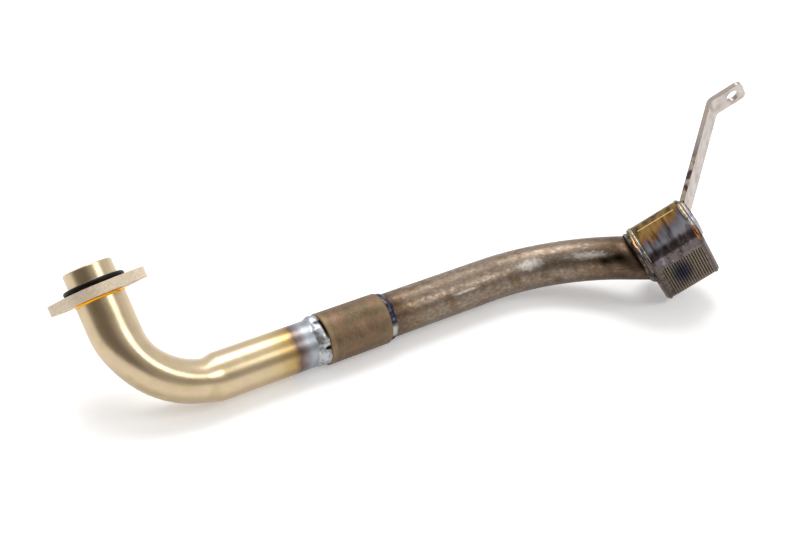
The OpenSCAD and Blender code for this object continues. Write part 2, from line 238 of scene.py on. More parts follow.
leg_end = sleeve_mid[0] - BUTT_GAP / 2 - crossing[0] - elbow_tangent
mouth = sleeve_low[0] - crossing[0] - elbow_tangent
nose = (NECK_TO_TIP, NECK_TO_TIP - TIP_CHAMFER, NECK_TO_TIP - 0.6, NECK_TO_TIP - 0.9)
nose += (NECK_TO_SEAL + 0.6, NECK_TO_SEAL + 0.3, NECK_TO_SEAL + 0.1, NECK_TO_SEAL)
stations = [("neck", d, 0) for d in nose]
stations += [("neck", d, 0) for d in np.linspace(NECK_TO_SEAL - RING_GAP / 2, RING_GAP, NECK_RINGS)]
stations += [("bend", a, 0) for a in np.linspace(elbow_angle, 0, BEND_RINGS)]
stations += [("leg", d, 0) for d in np.linspace(RING_GAP, leg_end, LEG_RINGS)]
stations += [("leg", leg_end, 1), ("leg", RING_GAP, 1)]
stations += [("bend", a, 1) for a in np.linspace(0, elbow_angle, BORE_RINGS)]
stations += [("neck", RING_GAP, 1), ("neck", NECK_TO_TIP, 1)]
rows = [elbow_station(*s) for s in stations]
along = []
for kind, value, inner in stations:
    along.append({"neck": -mouth - ELBOW_CLR * elbow_angle - value,
                  "bend": -mouth - ELBOW_CLR * value,
                  "leg": value - mouth}[kind])
elbow = skin("elbow_tube_smooth", rows, unbent(along, ELBOW_R))

# Yellow zinc plating on drawn tube: champagne gold with clear streaks of light, and a straw, purple
# and silver-blue burn towards the weld
elbow_plating, tree = surface("yellow_zinc_plated_tube")
place = add(tree, "Attribute", attribute_name="lay").outputs["Vector"]
lay = add(tree, "SeparateXYZ", {"Vector": place}).outputs["X"]
cloud = add(tree, "TexNoise", {"Vector": place, "Scale": 1 / PLATING_CLOUD, "Detail": 3.0}).outputs["Fac"]
fine = add(tree, "TexNoise", {"Vector": place, "Scale": 1 / PLATING_GRAIN, "Detail": 3.0}).outputs["Fac"]
gold = add(tree, "ValToRGB", {"Fac": cloud}, stops=[
    (0.30, "#BCA886"), (0.45, "#C6B493"), (0.58, "#C4AF94"), (0.72, "#BBAC85")]).outputs["Color"]
wander = add(tree, "MapRange", {"Value": cloud, "To Min": -BURN_WANDER,
                                "To Max": BURN_WANDER}).outputs["Result"]
burn_at = add(tree, "Math", {0: lay, 1: wander}, operation="ADD").outputs["Value"]
burn = add(tree, "MapRange", {"Value": burn_at, "From Min": -BURN_REACH, "From Max": 0.0}).outputs["Result"]
tint = add(tree, "ValToRGB", {"Fac": burn}, stops=[
    (0.05, "#C4B190"), (0.36, "#BCA77C"), (0.54, "#AA8D5C"), (0.62, "#6B574D"), (0.68, "#7B7374"),
    (0.76, "#9EA2A8"), (0.88, "#8A8E96"), (1.0, "#797471")]).outputs["Color"]
near = add(tree, "MapRange", {"Value": burn_at, "From Min": -42.0, "From Max": -24.0}).outputs["Result"]
tone = add(tree, "Mix", {"Factor": near, "A": gold, "B": tint}, data_type="RGBA").outputs["Result"]
sheen = add(tree, "MapRange", {"Value": burn_at, "From Min": -16.0, "From Max": -8.0,
                               "To Min": 0.29, "To Max": 0.38}).outputs["Result"]
rough = add(tree, "Bump", {"Height": fine, "Strength": 0.16, "Distance": 0.1 * MM})
shade = add(tree, "BsdfPrincipled", {"Base Color": tone, "Metallic": 1.0, "Roughness": sheen,
                                     "Normal": rough.outputs["Normal"]})
add(tree, "OutputMaterial", {"Surface": shade.outputs["BSDF"]})
seat(elbow, elbow_plating, "plated_steel", "elbow_neck", "elbow_tube")

# Sealing ring and braze ring
# A moulded rubber ring sits on the spigot against the flange. Below the flange a ring of braze, drawn in
# by capillary action, holds the plate to the tube.

# Moulded rubber, wet with oil: black with a thin bright line of light
seal_rubber, tree = surface("rubber_moulded")
shade = add(tree, "BsdfPrincipled", {"Base Color": srgb("#0B0706"), "Roughness": 0.4,
                                     "Specular IOR Level": 0.14})
add(tree, "OutputMaterial", {"Surface": shade.outputs["BSDF"]})
dress(["spigot_o_ring"], seal_rubber)

# Braze as it froze: a bright yellow fillet, as smooth as glass
braze_metal, tree = surface("brass_braze_as_frozen")
shade = add(tree, "BsdfPrincipled", {"Base Color": srgb("#DB9A1E"), "Metallic": 1.0, "Roughness": 0.22})
add(tree, "OutputMaterial", {"Surface": shade.outputs["BSDF"]})
dress(["flange_braze_ring"], braze_metal)

# Coupling sleeve
# A length of larger tube, cut off in a lathe, that covers the joint of the two tubes.
# It is bare steel with the mill's brown oxide on it, worn to tan at both lips.
OXIDE_CLOUD = 7
# The turned lines are finer than this, and are drawn as coarse as they need to show
TURNED_LINES = 0.7

# Oxidised steel tube: dull brown, faintly lined round the tube, with a tan band at each lip
sleeve_oxide, tree = surface("steel_tube_oxidised")
place = add(tree, "TexCoord").outputs["Object"]
run = add(tree, "SeparateXYZ", {"Vector": place}).outputs["X"]
cloud = add(tree, "TexNoise", {"Vector": place, "Scale": 1 / (OXIDE_CLOUD * MM),
                               "Detail": 5.0}).outputs["Fac"]
lines = add(tree, "Mapping", {"Vector": place, "Scale": (1.0, 0.35, 0.35)}).outputs["Vector"]
fine = add(tree, "TexNoise", {"Vector": lines, "Scale": 1 / (TURNED_LINES * MM),
                              "Detail": 4.0}).outputs["Fac"]
brown = add(tree, "ValToRGB", {"Fac": cloud}, stops=[
    (0.32, "#685942"), (0.44, "#75654E"), (0.56, "#7E644E"), (0.70, "#867059")]).outputs["Color"]
speck = add(tree, "ValToRGB", {"Fac": fine}, stops=[(0.34, "#E2DED9"), (0.60, "#FFFFFF")]).outputs["Color"]
brown = add(tree, "Mix", {"Factor": 1.0, "A": brown, "B": speck}, data_type="RGBA",
            blend_type="MULTIPLY").outputs["Result"]
lip = add(tree, "MapRange", {"Value": run, "From Min": sleeve_low[0] * MM, "From Max": sleeve_high[0] * MM})
band = add(tree, "ValToRGB", {"Fac": lip.outputs["Result"]}, stops=[
    (0.0, "#C8C8C8"), (0.07, "#9A9A9A"), (0.10, "#000000"), (0.17, "#000000"), (0.19, "#787878"),
    (0.22, "#000000"), (0.80, "#000000"), (0.90, "#606060"), (1.0, "#A0A0A0")]).outputs["Color"]
tan = add(tree, "Mix", {"Factor": band, "A": brown, "B": srgb("#99835E")}, data_type="RGBA").outputs["Result"]
edge = add(tree, "Bevel", {"Radius": 1.0 * MM}, samples=6).outputs["Normal"]
rough = add(tree, "Bump", {"Height": fine, "Strength": 0.12, "Distance": 0.15 * MM, "Normal": edge})
shade = add(tree, "BsdfPrincipled", {"Base Color": tan, "Metallic": 0.75, "Roughness": 0.52,
                                     "Normal": rough.outputs["Normal"]})
add(tree, "OutputMaterial", {"Surface": shade.outputs["BSDF"]})
dress(["coupling_sleeve"], sleeve_oxide)

# Sleeve welds
# Each end of the sleeve is welded to its tube by hand, in short runs that stop and start, so the beads
# have fat drops, gaps and undercuts. The elbow's weld is bright, and the extension's is dark.
BEAD_SIDES = 28
BEAD_STEPS = 300
BEAD_GAP = 0.05
ROOT_SINK, TOE_SINK = 0.3, 0.05
TOE_SHARE = 0.4
LEAST_HEIGHT = 0.04
RAGGED_SHARE = 0.2
RAGGED_WAVES = (2, 3, 5, 8, 13, 21)
RIPPLES, RIPPLE_LEAN, RIPPLE_SHARE = 19, 2.2, 0.07
CROWN_STEEPNESS = 1.4
# A drop or pit is its height or depth, then its angle, its place from the sleeve, and its half sizes round
# and along the tube, in degrees and millimetres
ELBOW_BEAD_W, ELBOW_BEAD_H = 6.8, 0.9
ELBOW_DROPS = (
    (0.8, (158, 3.4, 15, 2.6)), (0.4, (222, 2.2, 22, 2.2)), (0.9, (284, 2.4, 14, 2.6)),
    (0.7, (20, 2.4, 18, 2.4)), (0.6, (80, 2.4, 20, 2.4)))
ELBOW_PITS = (
    (0.9, (204, 0.2, 30, 0.8)), (0.7, (184, 2.2, 7, 1.8)), (0.9, (255, 1.2, 6, 2.4)),
    (0.8, (318, 1.4, 8, 2.2)), (0.7, (350, 1.5, 14, 1.2)), (0.7, (115, 1.2, 14, 1.0)))
EXT_BEAD_W, EXT_BEAD_H = 4.0, 0.9
LAST_DROP_ANGLE = 272
EXT_DROPS = (
    (0.6, (LAST_DROP_ANGLE, 1.5, 16, 1.7)), (0.4, (205, 1.2, 16, 1.6)), (0.4, (120, 1.2, 20, 1.6)),
    (0.4, (20, 1.2, 20, 1.6)))
EXT_PITS = ((0.7, (238, 1.2, 7, 1.4)), (0.7, (296, 0.8, 6, 1.2)), (0.7, (170, 0.8, 8, 1.4)))
EXT_R = 11.1
BRIGHT_PATCH, BLUED_PATCH = 2.6, 3.0


def run_spoke(angle):
    """Direction out of the straight run: 0 is down, 90 is the far side and 180 is up."""
    return -Z * math.cos(math.radians(angle)) + Y * math.sin(math.radians(angle))


def bump_at(angle, place, middle, offset, wide, long):
    """A round drop of metal, by angle in degrees and by place along the tube in millimetres."""
    gap = (angle - middle + 180) % 360 - 180
    return math.exp(-(gap / wide) ** 2 - ((place - offset) / long) ** 2)


def sleeve_weld(name, start, way, radius, width, drops, pits, base):
    """A bead on a tube of that radius, from a face at start, laid in the direction way."""
    draw = np.random.default_rng(len(name))
    wobble = draw.uniform(0, 360, len(RAGGED_WAVES))
    rows, pit_shade_rows = [], []
    for i in range(BEAD_STEPS):
        angle = 360 * i / BEAD_STEPS
        waves = [math.cos(math.radians(k * angle + w)) for k, w in zip(RAGGED_WAVES, wobble)]
        reach = width * (1 + RAGGED_SHARE * (sum(waves) / len(waves)))
        ring = [crossing + X * (start + way * BEAD_GAP) + run_spoke(angle) * (radius - ROOT_SINK)]
        pit_shade_row = [0.0]
        for j in range(BEAD_SIDES):
            t = j / (BEAD_SIDES - 1)
            place = reach * (1 - t)
            dip = sum(size * bump_at(angle, place, *pit) for size, pit in pits)
            ripple = 1 + RIPPLE_SHARE * math.cos(math.radians(RIPPLES * angle) + RIPPLE_LEAN * t)
            high = base * math.sin(math.pi / 2 * min(1, CROWN_STEEPNESS * t)) * ripple
            high += sum(size * bump_at(angle, place, *drop) for size, drop in drops) - dip
            edge = eased(t / TOE_SHARE)
            lift = max(LEAST_HEIGHT, high) * edge - TOE_SINK * (1 - edge)
            middle = crossing + X * (start + way * (place + BEAD_GAP))
            ring.append(middle + run_spoke(angle) * (radius + lift))
            # The depth of each pit is kept on the mesh for the weld's painted shade
            pit_shade_row.append(dip * edge)
        rows.append(ring)
        pit_shade_rows.append(pit_shade_row)
    return skin(name, rows, pit_shade_rows)


left_face = sleeve_low[0] - crossing[0]
right_face = sleeve_high[0] - crossing[0]
elbow_weld = sleeve_weld(
    "elbow_weld_drops", left_face, -1, ELBOW_R, ELBOW_BEAD_W, ELBOW_DROPS, ELBOW_PITS, ELBOW_BEAD_H)

# Weld metal as laid by hand: bright silver with a blue cast, with painted shade in the pits and gaps
# where the metal didn't flow together
bright_weld, tree = surface("steel_weld_as_laid_bright")
place = add(tree, "TexCoord").outputs["Object"]
cloud = add(tree, "TexNoise", {"Vector": place, "Scale": 1 / (BRIGHT_PATCH * MM),
                               "Detail": 4.0}).outputs["Fac"]
dip = add(tree, "Attribute", attribute_name="lay").outputs["Fac"]
silver = add(tree, "ValToRGB", {"Fac": cloud}, stops=[
    (0.30, "#707379"), (0.44, "#A0A5AC"), (0.56, "#B3B6B8"), (0.70, "#918B84")]).outputs["Color"]
# Painted shade: the weld is darkened by the depth of its pits and gaps
painted_pit_shade = add(tree, "ValToRGB", {"Fac": dip}, stops=[(0.25, "#FFFFFF"), (0.7, "#2E2621")]).outputs["Color"]
tone = add(tree, "Mix", {"Factor": 1.0, "A": silver, "B": painted_pit_shade}, data_type="RGBA",
           blend_type="MULTIPLY").outputs["Result"]
rough = add(tree, "Bump", {"Height": cloud, "Strength": 0.06, "Distance": 0.3 * MM})
shade = add(tree, "BsdfPrincipled", {"Base Color": tone, "Metallic": 1.0, "Roughness": 0.36,
                                     "Normal": rough.outputs["Normal"]})
add(tree, "OutputMaterial", {"Surface": shade.outputs["BSDF"]})
seat(elbow_weld, bright_weld, "weld_metal", "elbow_weld_bead")

ext_weld = sleeve_weld(
    "extension_weld_drops", right_face, 1, EXT_R, EXT_BEAD_W, EXT_DROPS, EXT_PITS, EXT_BEAD_H)

# Weld metal left hot: blue-black scale, with bare silver where a drop was laid last
dark_weld, tree = surface("steel_weld_as_laid_blued")
place = add(tree, "TexCoord").outputs["Object"]
cloud = add(tree, "TexNoise", {"Vector": place, "Scale": 1 / (BLUED_PATCH * MM),
                               "Detail": 3.0}).outputs["Fac"]
drop_at = (crossing + X * (right_face + 1.6) + run_spoke(LAST_DROP_ANGLE) * (EXT_R + 1)) * MM
reach = add(tree, "VectorMath", {0: place, 1: drop_at.tolist()}, operation="DISTANCE").outputs["Value"]
blue = add(tree, "ValToRGB", {"Fac": cloud}, stops=[
    (0.32, "#1E1F28"), (0.46, "#41425B"), (0.58, "#332F2E"), (0.72, "#62574E")]).outputs["Color"]
bare = add(tree, "MapRange", {"Value": reach, "From Min": 2.4 * MM, "From Max": 4.4 * MM,
                              "To Min": 1.0, "To Max": 0.0}).outputs["Result"]
tone = add(tree, "Mix", {"Factor": bare, "A": blue, "B": srgb("#A5A29A")}, data_type="RGBA").outputs["Result"]
rough = add(tree, "Bump", {"Height": cloud, "Strength": 0.3, "Distance": 0.3 * MM})
shade = add(tree, "BsdfPrincipled", {"Base Color": tone, "Metallic": 1.0, "Roughness": 0.32,
                                     "Normal": rough.outputs["Normal"]})
add(tree, "OutputMaterial", {"Surface": shade.outputs["BSDF"]})
seat(ext_weld, dark_weld, "weld_metal", "extension_weld_bead")

# Extension tube
# A bare drawn steel tube, bent in one long sweep and cut on a slant to meet the box's end plate.
# Handling has left it speckled, a few light ovals of painted highlight lie on it, and the weld at the box has
# sooted its end.
EXT_RUN = 63.5
EXT_CLR = 70.0
EXT_ANGLE = math.radians(58.6)
EXT_ROLL = math.radians(18.8)
EXT_TAIL = 11.6
EXT_RUN_RINGS, EXT_BEND_RINGS = 50, 60
PLATE_GAP = 0.04
STAIN_CLOUD = 10
# The specks are finer than this, and are drawn as coarse as they need to show
DRAWN_SPECK = 1.3
HEAT_SPAN, HEAT_WANDER = 150.0, 6.0
# A mark is its place along the tube in millimetres, its angle in degrees, and its half length and half width
# The light marks are painted highlights, where dents in the tube would catch the lamp
PAINTED_HIGHLIGHTS = ((86, 207, 7.5, 2.8), (120, 208, 11.0, 1.8), (44, 193, 7.0, 0.7))
SOOTED = ((130.5, 191, 5.0, 2.6), (138, 199, 4.5, 2.6))
BOX_YAW, BOX_TILT, BOX_ROLL = (math.radians(a) for a in (-22.5, 32.6, -162.2))


def about(axis, angle):
    """Rotation about one of the frame's axes, by its number."""
    first, second = (axis + 1) % 3, (axis + 2) % 3
    made = np.eye(3)
    made[first, first] = made[second, second] = math.cos(angle)
    made[first, second] = -math.sin(angle)
    made[second, first] = math.sin(angle)
    return made


box_turn = about(2, BOX_YAW) @ about(1, -BOX_TILT) @ about(0, BOX_ROLL)
box_long, box_face, box_wide = box_turn.T
ext_turn = np.array([0, -math.cos(EXT_ROLL), math.sin(EXT_ROLL)])
ext_side = np.cross(X, ext_turn)
ext_dir = X * math.cos(EXT_ANGLE) + ext_turn * math.sin(EXT_ANGLE)
bend_x = right_face + EXT_RUN


def ext_middle(angle):
    return (crossing + X * (bend_x + EXT_CLR * math.sin(angle))
            + ext_turn * EXT_CLR * (1 - math.cos(angle)))


def ext_spokes(angle, radius):
    out = X * math.sin(angle) - ext_turn * math.cos(angle)
    return (np.outer(np.cos(turn), out) + np.outer(np.sin(turn), ext_side)) * radius


def oval(tree, place, along, spoke, long, wide, soft, most):
    """Cover of an oval mark on the unbent tube, greatest in its middle and 0 past its edge."""
    middle = (along, EXT_R * math.cos(math.radians(spoke)), EXT_R * math.sin(math.radians(spoke)))
    gap = add(tree, "VectorMath", {0: place, 1: middle}, operation="SUBTRACT").outputs["Vector"]
    shares = (1 / long, 1 / wide, 1 / wide)
    gap = add(tree, "VectorMath", {0: gap, 1: shares}, operation="MULTIPLY").outputs["Vector"]
    reach = add(tree, "VectorMath", {0: gap}, operation="LENGTH").outputs["Value"]
    reach = add(tree, "Math", {0: reach, 1: soft}, operation="ADD").outputs["Value"]
    return add(tree, "MapRange", {"Value": reach, "From Min": 0.3, "From Max": 1.3,
                                  "To Min": most, "To Max": 0.0}).outputs["Result"]


ext_end = ext_middle(EXT_ANGLE) + ext_dir * EXT_TAIL
butt = sleeve_mid[0] + BUTT_GAP / 2 - crossing[0]
rows, along = [], []
for inner in (0, 1):
    radius = EXT_R - TUBE_WALL * inner
    part = [(crossing + X * d + ext_spokes(0, radius), d - right_face)
            for d in np.linspace(butt, bend_x - RING_GAP, EXT_RUN_RINGS)]
    part += [(ext_middle(a) + ext_spokes(a, radius), EXT_RUN + EXT_CLR * a)
             for a in np.linspace(0, EXT_ANGLE, EXT_BEND_RINGS)]
    spokes = ext_spokes(EXT_ANGLE, radius)
    slant = np.outer(spokes @ box_long + PLATE_GAP, ext_dir) / (ext_dir @ box_long)
    part.append((ext_end + spokes - slant, EXT_RUN + EXT_CLR * EXT_ANGLE + EXT_TAIL))
    for ring, at in part[::-1] if inner else part:
        rows.append(ring)
        along.append(at)
extension = skin("extension_tube_smooth", rows, unbent(along, EXT_R))

# Drawn steel, bare and handled: grey with a brown cast, speckled, with soft light along the tube, a few
# painted highlights, a purple tint beside the weld and brown-black soot at the box
bare_tube, tree = surface("steel_tube_drawn_bare")
place = add(tree, "Attribute", attribute_name="lay").outputs["Vector"]
lay = add(tree, "SeparateXYZ", {"Vector": place}).outputs["X"]
cloud = add(tree, "TexNoise", {"Vector": place, "Scale": 1 / STAIN_CLOUD, "Detail": 5.0}).outputs["Fac"]
streaks = add(tree, "Mapping", {"Vector": place, "Scale": (0.6, 1.0, 1.0)}).outputs["Vector"]
fine = add(tree, "TexNoise", {"Vector": streaks, "Scale": 1 / DRAWN_SPECK, "Detail": 5.0}).outputs["Fac"]
grey = add(tree, "ValToRGB", {"Fac": fine}, stops=[
    (0.30, "#75695E"), (0.48, "#837567"), (0.58, "#897C6D"), (0.72, "#9E9285")]).outputs["Color"]
stain = add(tree, "ValToRGB", {"Fac": cloud}, stops=[
    (0.34, "#DCCFC0"), (0.50, "#FFFFFF"), (0.66, "#ECE4E0")]).outputs["Color"]
worn = add(tree, "Mix", {"Factor": 1.0, "A": grey, "B": stain}, data_type="RGBA",
           blend_type="MULTIPLY").outputs["Result"]
wander = add(tree, "MapRange", {"Value": cloud, "To Min": -HEAT_WANDER,
                                "To Max": HEAT_WANDER}).outputs["Result"]
heat_at = add(tree, "Math", {0: lay, 1: wander}, operation="ADD").outputs["Value"]
heat = add(tree, "MapRange", {"Value": heat_at, "From Min": 0.0, "From Max": HEAT_SPAN}).outputs["Result"]
tint = add(tree, "ValToRGB", {"Fac": heat}, stops=[
    (0.0, "#A4969A"), (0.04, "#CBBEB4"), (0.09, "#F0E8DE"), (0.16, "#FFFFFF"), (0.74, "#FFFFFF"),
    (0.84, "#DCD0C4"), (0.92, "#B8A89E"), (1.0, "#A4968F")]).outputs["Color"]
tone = add(tree, "Mix", {"Factor": 1.0, "A": worn, "B": tint}, data_type="RGBA",
           blend_type="MULTIPLY").outputs["Result"]
broken = add(tree, "MapRange", {"Value": fine, "To Min": -1.0, "To Max": 1.0}).outputs["Result"]
smudged = add(tree, "MapRange", {"Value": cloud, "To Min": -1.0, "To Max": 1.0}).outputs["Result"]
# The light ovals are painted highlights, and the dark ones are soot
for marks, soft, most, colour in ((PAINTED_HIGHLIGHTS, broken, 0.9, "#E3DCD4"), (SOOTED, smudged, 1.0, "#1A160D")):
    for mark in marks:
        cover = oval(tree, place, *mark, soft, most)
        tone = add(tree, "Mix", {"Factor": cover, "A": tone, "B": srgb(colour)},
                   data_type="RGBA").outputs["Result"]
sheen = add(tree, "MapRange", {"Value": fine, "From Min": 0.3, "From Max": 0.7,
                               "To Min": 0.46, "To Max": 0.34}).outputs["Result"]
rough = add(tree, "Bump", {"Height": fine, "Strength": 0.05, "Distance": 0.12 * MM})
shade = add(tree, "BsdfPrincipled", {"Base Color": tone, "Metallic": 0.92, "Roughness": sheen,
                                     "Normal": rough.outputs["Normal"]})
add(tree, "OutputMaterial", {"Surface": shade.outputs["BSDF"]})
seat(extension, bare_tube, "bare_steel", "extension_tube")

# Inlet box
# A folded steel shell with the screen's window in one side, closed by two pressed end plates with rounded
# rims, which are welded on. Welding has run temper colours over it: straw, bronze, purple and blue.
BOX_LEN, BOX_DEPTH, BOX_WIDTH = 30.4, 28.0, 43.0
BOX_WALL, BOX_EDGE_R, PLATE_T = 1.6, 7.6, 2.0
RIM_R, RIM_RINGS = 1.9, 8
RIM_SUPPORT = 0.05
# Half width of the painted highlight line along the near fold
FOLD_HIGHLIGHT_HALF = 0.25
TEMPER_LEAN, TEMPER_WANDER = 0.2, 10
TEMPER_STREAK, SOIL_PATCH = 5, 2.4
FOOT_BEAD_W = 3.2
SEAM_STEPS = 240
ENTRY_DEPTH, ENTRY_WIDTH = 14.0, 12.6
box_origin = ext_end - box_turn @ np.array([0, ENTRY_DEPTH, ENTRY_WIDTH])


def box_point(along_box, depth, width):
    """A point of the box's own frame, from its back edge at the tube's end."""
    return box_origin + box_turn @ np.array([along_box, depth, width])


tail_in_box = box_turn.T @ ext_dir


def outline(step, grow):
    """Point on the box's rounded outline, by its share of the way round, grown outwards."""
    r = BOX_EDGE_R
    sides = (BOX_DEPTH - 2 * r, BOX_WIDTH - 2 * r)
    arc = math.pi / 2 * r
    left = step * (2 * sum(sides) + 4 * arc)
    corners = [(BOX_DEPTH - r, r), (BOX_DEPTH - r, BOX_WIDTH - r), (r, BOX_WIDTH - r), (r, r)]
    for n in range(4):
        heading = math.pi / 2 * n
        side = sides[n % 2]
        at = np.array(corners[n])
        if left <= side:
            off = np.array([math.sin(heading), -math.cos(heading)])
            return at - np.array([math.cos(heading), math.sin(heading)]) * (side - left) + off * (r + grow)
        left -= side
        if left <= arc:
            angle = heading + left / r
            return at + np.array([math.sin(angle), -math.cos(angle)]) * (r + grow)
        left -= arc


def bore_edge(spot, axis_at, radius):
    """Where the slanted tube of that radius cuts a plate, on the way from its axis to a spot."""
    way = np.asarray(spot) - axis_at
    way = way / np.linalg.norm(way)
    return axis_at + way * radius / math.sqrt(1 - (way @ tail_in_box[1:]) ** 2)


plates = []
pressings = (("tube_end_plate_pressed", PLATE_T, -1), ("bracket_end_plate_pressed", BOX_LEN - PLATE_T, 1))
for name, inner_face, way in pressings:
    rows = []
    for i in range(SEAM_STEPS):
        step = i / SEAM_STEPS
        rim = outline(step, 0)
        round_r = RIM_R
        middles = [np.array([BOX_DEPTH, BOX_WIDTH]) / 2] * 2
        if way < 0:
            entry = np.array([ENTRY_DEPTH, ENTRY_WIDTH])
            inside = entry + tail_in_box[1:] / tail_in_box[0] * PLATE_T
            round_r *= eased(np.linalg.norm(rim - bore_edge(rim, entry, EXT_R)) / FOOT_BEAD_W - 0.5)
            middles = [bore_edge(rim, spot, EXT_R - TUBE_WALL) for spot in (inside, entry)]
        ring = [(0.0, middles[0]), (0.0, rim)]
        for t in np.linspace(0, math.pi / 2, RIM_RINGS):
            ring.append((PLATE_T - round_r * (1 - math.sin(t)), outline(step, -round_r * (1 - math.cos(t)))))
        support = (1 - RIM_SUPPORT) * ring[-1][1] + RIM_SUPPORT * middles[1]
        ring += [(PLATE_T, support), (PLATE_T, middles[1])]
        rows.append([box_point(inner_face + way * high, *spot) for high, spot in ring])
    plates.append(skin(name, rows))

# Steel tempered by welding: glossy, olive and straw at the folds, then bronze, purple and slate blue, in
# streaks that run away from the back, with a painted highlight line along the near fold
tempered, tree = surface("steel_sheet_heat_tempered")
place = add(tree, "TexCoord").outputs["Object"]
corner = (box_origin * MM).tolist()
local = add(tree, "VectorMath", {0: place, 1: corner}, operation="SUBTRACT").outputs["Vector"]
own = [add(tree, "VectorMath", {0: local, 1: axis.tolist()}, operation="DOT_PRODUCT").outputs["Value"]
       for axis in (box_long, box_face, box_wide)]
laid = add(tree, "CombineXYZ", {"X": own[0], "Y": own[1], "Z": own[2]}).outputs["Vector"]
drawn = add(tree, "Mapping", {"Vector": laid, "Scale": (1.0, 0.2, 1.0)}).outputs["Vector"]
cloud = add(tree, "TexNoise", {"Vector": drawn, "Scale": 1 / (TEMPER_STREAK * MM),
                               "Detail": 1.0}).outputs["Fac"]
wander = add(tree, "MapRange", {"Value": cloud, "To Min": -TEMPER_WANDER * MM,
                                "To Max": TEMPER_WANDER * MM}).outputs["Result"]
lean = add(tree, "Math", {0: own[0], 1: TEMPER_LEAN, 2: wander}, operation="MULTIPLY_ADD").outputs["Value"]
temper_at = add(tree, "Math", {0: own[1], 1: lean}, operation="ADD").outputs["Value"]
temper = add(tree, "MapRange", {"Value": temper_at, "From Min": 0.0,
                                "From Max": BOX_DEPTH * MM}).outputs["Result"]
colours = add(tree, "ValToRGB", {"Fac": temper}, stops=[
    (0.00, "#625844"), (0.20, "#6D5B3D"), (0.42, "#92723F"), (0.55, "#836241"), (0.65, "#6B5959"),
    (0.74, "#626168"), (0.86, "#6F7176"), (0.96, "#7C767E"), (1.0, "#615859")]).outputs["Color"]
faced = add(tree, "MapRange", {"Value": own[1], "From Min": (BOX_DEPTH - 1) * MM, "From Max": BOX_DEPTH * MM})
past_fold = add(tree, "MapRange", {"Value": own[2], "From Min": BOX_EDGE_R * MM,
                                   "From Max": 1.5 * BOX_EDGE_R * MM}).outputs["Result"]
framed = add(tree, "Math", {0: faced.outputs["Result"], 1: past_fold}, operation="MULTIPLY").outputs["Value"]
colours = add(tree, "Mix", {"Factor": framed, "A": colours, "B": srgb("#6D6158")},
              data_type="RGBA").outputs["Result"]
fine = add(tree, "TexNoise", {"Vector": drawn, "Scale": 1 / (SOIL_PATCH * MM), "Detail": 4.0}).outputs["Fac"]
soil = add(tree, "ValToRGB", {"Fac": fine}, stops=[(0.36, "#A39A90"), (0.54, "#FFFFFF")]).outputs["Color"]
tone = add(tree, "Mix", {"Factor": 1.0, "A": colours, "B": soil}, data_type="RGBA",
           blend_type="MULTIPLY").outputs["Result"]
# Painted highlight: a thin bright line along the near fold, where its curve would catch a lamp
off_fold = add(tree, "Math", {0: own[1], 1: BOX_EDGE_R * MM, 2: FOLD_HIGHLIGHT_HALF * MM}, operation="COMPARE")
mid_long = add(tree, "Math", {0: own[0], 1: BOX_LEN / 2 * MM, 2: BOX_LEN / 3 * MM}, operation="COMPARE")
near_side = add(tree, "Math", {0: own[2], 1: BOX_WALL * MM}, operation="LESS_THAN").outputs["Value"]
painted_fold_highlight = add(tree, "Math", {0: off_fold.outputs["Value"], 1: mid_long.outputs["Value"]}, operation="MULTIPLY")
painted_fold_highlight = add(tree, "Math", {0: painted_fold_highlight.outputs["Value"], 1: near_side}, operation="MULTIPLY").outputs["Value"]
tone = add(tree, "Mix", {"Factor": painted_fold_highlight, "A": tone, "B": srgb("#DBB989")},
           data_type="RGBA").outputs["Result"]
edge = add(tree, "Bevel", {"Radius": 0.4 * MM}, samples=6).outputs["Normal"]
shade = add(tree, "BsdfPrincipled", {"Base Color": tone, "Metallic": 1.0, "Roughness": 0.24, "Normal": edge})
add(tree, "OutputMaterial", {"Surface": shade.outputs["BSDF"]})
dress(["box_shell"], tempered)
seat(plates[0], tempered, "tinted_steel", "tube_end_plate")
seat(plates[1], tempered, "tinted_steel", "bracket_end_plate")

# Inlet screen
# Woven steel wire cloth, set into the window and held by its edges.
# Thin cross wires pass over and under the thicker straight ones, and a hem wire ends it at the fold.
WARP_PITCH, WARP_R = 1.35, 0.31
WEFT_PITCH, WEFT_R = 0.80, 0.14
WIRE_SIDES = 6
STEPS_A_CROSSING = 4
WINDOW_LIP_TUBE, WINDOW_LIP_BRACKET, WINDOW_LIP_EDGE = 5.0, 3.6, 2.6
CLOTH_GAP = 0.05
CLOTH_SINK = 0.5
BURN_STRETCH = 0.55
BURN_ALONG, BURN_ACROSS = 0.44, 0.50
HEM_R = 0.5
cloth_start = np.array([
    WINDOW_LIP_TUBE + CLOTH_GAP, BOX_DEPTH - CLOTH_SINK, BOX_EDGE_R + WINDOW_LIP_EDGE + CLOTH_GAP])
fold_start = BOX_WIDTH - BOX_EDGE_R - cloth_start[2]
fold_r = BOX_EDGE_R - CLOTH_SINK
cloth_long = BOX_LEN - WINDOW_LIP_TUBE - WINDOW_LIP_BRACKET - 2 * CLOTH_GAP
cloth_wide = fold_start + math.sqrt(fold_r ** 2 - (BOX_EDGE_R - BOX_WALL) ** 2)


def fold_drop(width):
    """How far the cloth has turned down round the fold, at a width across the cloth."""
    past = max(0.0, width - fold_start)
    return fold_r - math.sqrt(fold_r ** 2 - past ** 2)


def wire(first, axis, span, radius, lift, pitch, phase):
    """Rings of one wire of the cloth, ended by a point at each end."""
    count = int(span / pitch) * STEPS_A_CROSSING
    rows = []
    for i in range(count + 1):
        at = span * i / count
        wave = lift * math.cos(math.pi * at / pitch + phase) - fold_drop(first if axis == "long" else at)
        thick = 0.0 if i in (0, count) else radius
        ring = []
        for j in range(WIRE_SIDES):
            q = 2 * math.pi * j / WIRE_SIDES
            spot = [at, wave + thick * math.sin(q), first + thick * math.cos(q)]
            ring.append(box_point(*(cloth_start + (spot if axis == "long" else spot[::-1]))))
        rows.append(ring)
    return rows


